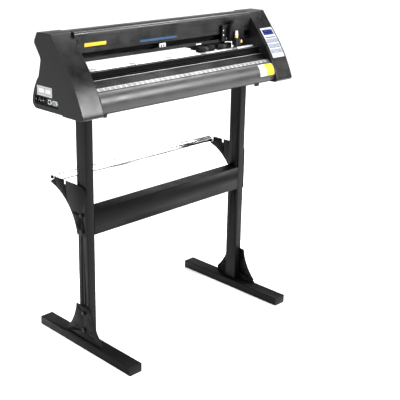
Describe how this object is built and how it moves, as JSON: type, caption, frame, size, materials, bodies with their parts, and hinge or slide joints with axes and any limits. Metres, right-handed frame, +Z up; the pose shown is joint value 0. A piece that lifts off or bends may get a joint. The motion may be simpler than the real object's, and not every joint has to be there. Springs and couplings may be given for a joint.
{
  "type": "vinyl cutter",
  "caption": "Floor-standing vinyl cutter: roll-fed cutting head with end caps, blade carriage, pinch rollers and keypad on a two-legged steel stand with a media roller.",
  "frame": {"origin": "on the floor, midway between the two feet", "axes": "+Z up, +X to the right as the operator stands in front, +Y towards the rear; the operator's side is -Y"},
  "size_m": [0.885, 0.44, 0.979],
  "materials": {
    "stand_steel": "textured black powder coat",
    "frame_steel": "satin black paint",
    "zinc_steel": "zinc plated",
    "chrome": "polished",
    "case_plastic": "fine textured dark grey",
    "black_plastic": "moulded black",
    "white_plastic": "satin white",
    "anodised": "black anodised",
    "overlay_white": "printed membrane",
    "key_white": "printed membrane",
    "screen_blue": "liquid crystal screen",
    "rubber": "matte",
    "motor_black": "satin",
    "board_green": "solder mask",
    "brass": "turned",
    "aluminium": "milled"
  },
  "bodies": {
    "root": {"left_foot": "stand_steel", "right_foot": "stand_steel", "left_leg": "stand_steel", "right_leg": "stand_steel", "crossbar": "stand_steel", "roll_brackets": "stand_steel", "foot_plugs": "black_plastic", "power_inlet": "black_plastic", "feed_bearings": "zinc_steel", "power_supply": "zinc_steel", "data_sockets": "zinc_steel", "stand_bolts": "frame_steel", "side_plates": "frame_steel", "base_pan": "frame_steel", "port_panel": "frame_steel", "left_end_cap": "case_plastic", "right_end_cap": "case_plastic", "front_apron": "case_plastic", "platform": "anodised", "beam": "anodised", "guide_rail": "anodised", "head_feet": "rubber", "feed_belt": "rubber", "carriage_belt": "rubber", "membrane_panel": "overlay_white", "display": "screen_blue", "main_board": "board_green", "feed_motor": "motor_black", "carriage_motor": "motor_black"},
    "roll_axle": {"roll_axle": "zinc_steel"},
    "roll": {"roll_tube": "chrome", "roll_plugs": "white_plastic"},
    "rocker": {"power_switch": "black_plastic"},
    "feed": {"feed_shaft": "chrome", "feed_pulley": "aluminium"},
    "feed_motor_rotor": {"feed_motor_pulley": "aluminium"},
    "drive_rotor": {"drive_pulley": "aluminium"},
    "idler": {"idler_pulley": "aluminium"},
    "carriage": {"slider_block": "aluminium", "carriage_plate": "frame_steel", "carriage_cover": "black_plastic", "lift_solenoid": "zinc_steel"},
    "tool": {"tool_holder": "frame_steel", "blade_holder": "brass"},
    "clamp_screw": {"clamp_knob": "brass"},
    "key_1": {"key_1": "key_white"},
    "key_2": {"key_2": "key_white"},
    "key_3": {"key_3": "key_white"},
    "key_4": {"key_4": "key_white"},
    "key_5": {"key_5": "key_white"},
    "key_6": {"key_6": "key_white"},
    "key_7": {"key_7": "key_white"},
    "key_8": {"key_8": "key_white"},
    "key_9": {"key_9": "key_white"},
    "pinch_slide_1": {"pinch_block_1": "black_plastic"},
    "pinch_rocker_1": {"pinch_arm_1": "black_plastic"},
    "pinch_roller_1": {"pinch_wheel_1": "rubber"},
    "pinch_slide_2": {"pinch_block_2": "black_plastic"},
    "pinch_rocker_2": {"pinch_arm_2": "black_plastic"},
    "pinch_roller_2": {"pinch_wheel_2": "rubber"}
  },
  "joints": [
    {"name": "roll_lift", "type": "slide", "parent": "root", "child": "roll_axle", "axis": [0, 0, 1], "range_m": [0, 0.03]},
    {"name": "roll_spin", "type": "hinge", "parent": "roll_axle", "child": "roll", "pos_m": [0, 0.133, 0.518], "axis": [1, 0, 0], "continuous": true},
    {"name": "power_rocker", "type": "hinge", "parent": "root", "child": "rocker", "pos_m": [-0.434, 0.034, 0.79], "axis": [0, 1, 0], "range_deg": [0, 16]},
    {"name": "feed_spin", "type": "hinge", "parent": "root", "child": "feed", "pos_m": [0, -0.024, 0.863], "axis": [1, 0, 0], "continuous": true},
    {"name": "feed_motor_spin", "type": "hinge", "parent": "root", "child": "feed_motor_rotor", "pos_m": [0.384, 0.022, 0.812], "axis": [1, 0, 0], "continuous": true},
    {"name": "carriage_slide", "type": "slide", "parent": "root", "child": "carriage", "axis": [1, 0, 0], "range_m": [-0.575, 0.04]},
    {"name": "drive_spin", "type": "hinge", "parent": "root", "child": "drive_rotor", "pos_m": [-0.4, -0.006, 0.9384], "axis": [0, -1, 0], "continuous": true},
    {"name": "idler_spin", "type": "hinge", "parent": "root", "child": "idler", "pos_m": [0.389, -0.006, 0.9384], "axis": [0, -1, 0], "continuous": true},
    {"name": "blade_press", "type": "slide", "parent": "carriage", "child": "tool", "axis": [0, 0, 1], "range_m": [-0.004, 0], "stiffness_N_per_m": 300, "springref_m": 0.006},
    {"name": "clamp_turn", "type": "hinge", "parent": "tool", "child": "clamp_screw", "pos_m": [0.275, -0.047, 0.893], "axis": [1, 0, 0], "range_deg": [0, 360]},
    {"name": "key_1_press", "type": "slide", "parent": "root", "child": "key_1", "axis": [0, 0.8086, -0.5884], "range_m": [0, 0.0005], "stiffness_N_per_m": 600},
    {"name": "key_2_press", "type": "slide", "parent": "root", "child": "key_2", "axis": [0, 0.8086, -0.5884], "range_m": [0, 0.0005], "stiffness_N_per_m": 600},
    {"name": "key_3_press", "type": "slide", "parent": "root", "child": "key_3", "axis": [0, 0.8086, -0.5884], "range_m": [0, 0.0005], "stiffness_N_per_m": 600},
    {"name": "key_4_press", "type": "slide", "parent": "root", "child": "key_4", "axis": [0, 0.831, -0.5563], "range_m": [0, 0.0005], "stiffness_N_per_m": 600},
    {"name": "key_5_press", "type": "slide", "parent": "root", "child": "key_5", "axis": [0, 0.831, -0.5563], "range_m": [0, 0.0005], "stiffness_N_per_m": 600},
    {"name": "key_6_press", "type": "slide", "parent": "root", "child": "key_6", "axis": [0, 0.831, -0.5563], "range_m": [0, 0.0005], "stiffness_N_per_m": 600},
    {"name": "key_7_press", "type": "slide", "parent": "root", "child": "key_7", "axis": [0, 0.8522, -0.5233], "range_m": [0, 0.0005], "stiffness_N_per_m": 600},
    {"name": "key_8_press", "type": "slide", "parent": "root", "child": "key_8", "axis": [0, 0.8522, -0.5233], "range_m": [0, 0.0005], "stiffness_N_per_m": 600},
    {"name": "key_9_press", "type": "slide", "parent": "root", "child": "key_9", "axis": [0, 0.8522, -0.5233], "range_m": [0, 0.0005], "stiffness_N_per_m": 600},
    {"name": "pinch_1_slide", "type": "slide", "parent": "root", "child": "pinch_slide_1", "axis": [1, 0, 0], "range_m": [-0.44, 0]},
    {"name": "pinch_1_lift", "type": "hinge", "parent": "pinch_slide_1", "child": "pinch_rocker_1", "pos_m": [0.14, 0.008, 0.88], "axis": [-1, 0, 0], "range_deg": [0, 6], "stiffness_Nm_per_rad": 1, "springref_deg": -17.19},
    {"name": "pinch_1_roll", "type": "hinge", "parent": "pinch_rocker_1", "child": "pinch_roller_1", "pos_m": [0.14, -0.024, 0.8803], "axis": [1, 0, 0], "continuous": true},
    {"name": "pinch_2_slide", "type": "slide", "parent": "root", "child": "pinch_slide_2", "axis": [1, 0, 0], "range_m": [0, 0.09]},
    {"name": "pinch_2_lift", "type": "hinge", "parent": "pinch_slide_2", "child": "pinch_rocker_2", "pos_m": [0.222, 0.008, 0.88], "axis": [-1, 0, 0], "range_deg": [0, 6], "stiffness_Nm_per_rad": 1, "springref_deg": -17.19},
    {"name": "pinch_2_roll", "type": "hinge", "parent": "pinch_rocker_2", "child": "pinch_roller_2", "pos_m": [0.222, -0.024, 0.8803], "axis": [1, 0, 0], "continuous": true}
  ],
  "couplings": [
    {"joint": "feed_motor_spin", "follows": "feed_spin", "ratio": 2.8378},
    {"joint": "drive_spin", "follows": "carriage_slide", "rad_per_m": 135.13},
    {"joint": "idler_spin", "follows": "carriage_slide", "rad_per_m": 135.13}
  ]
}
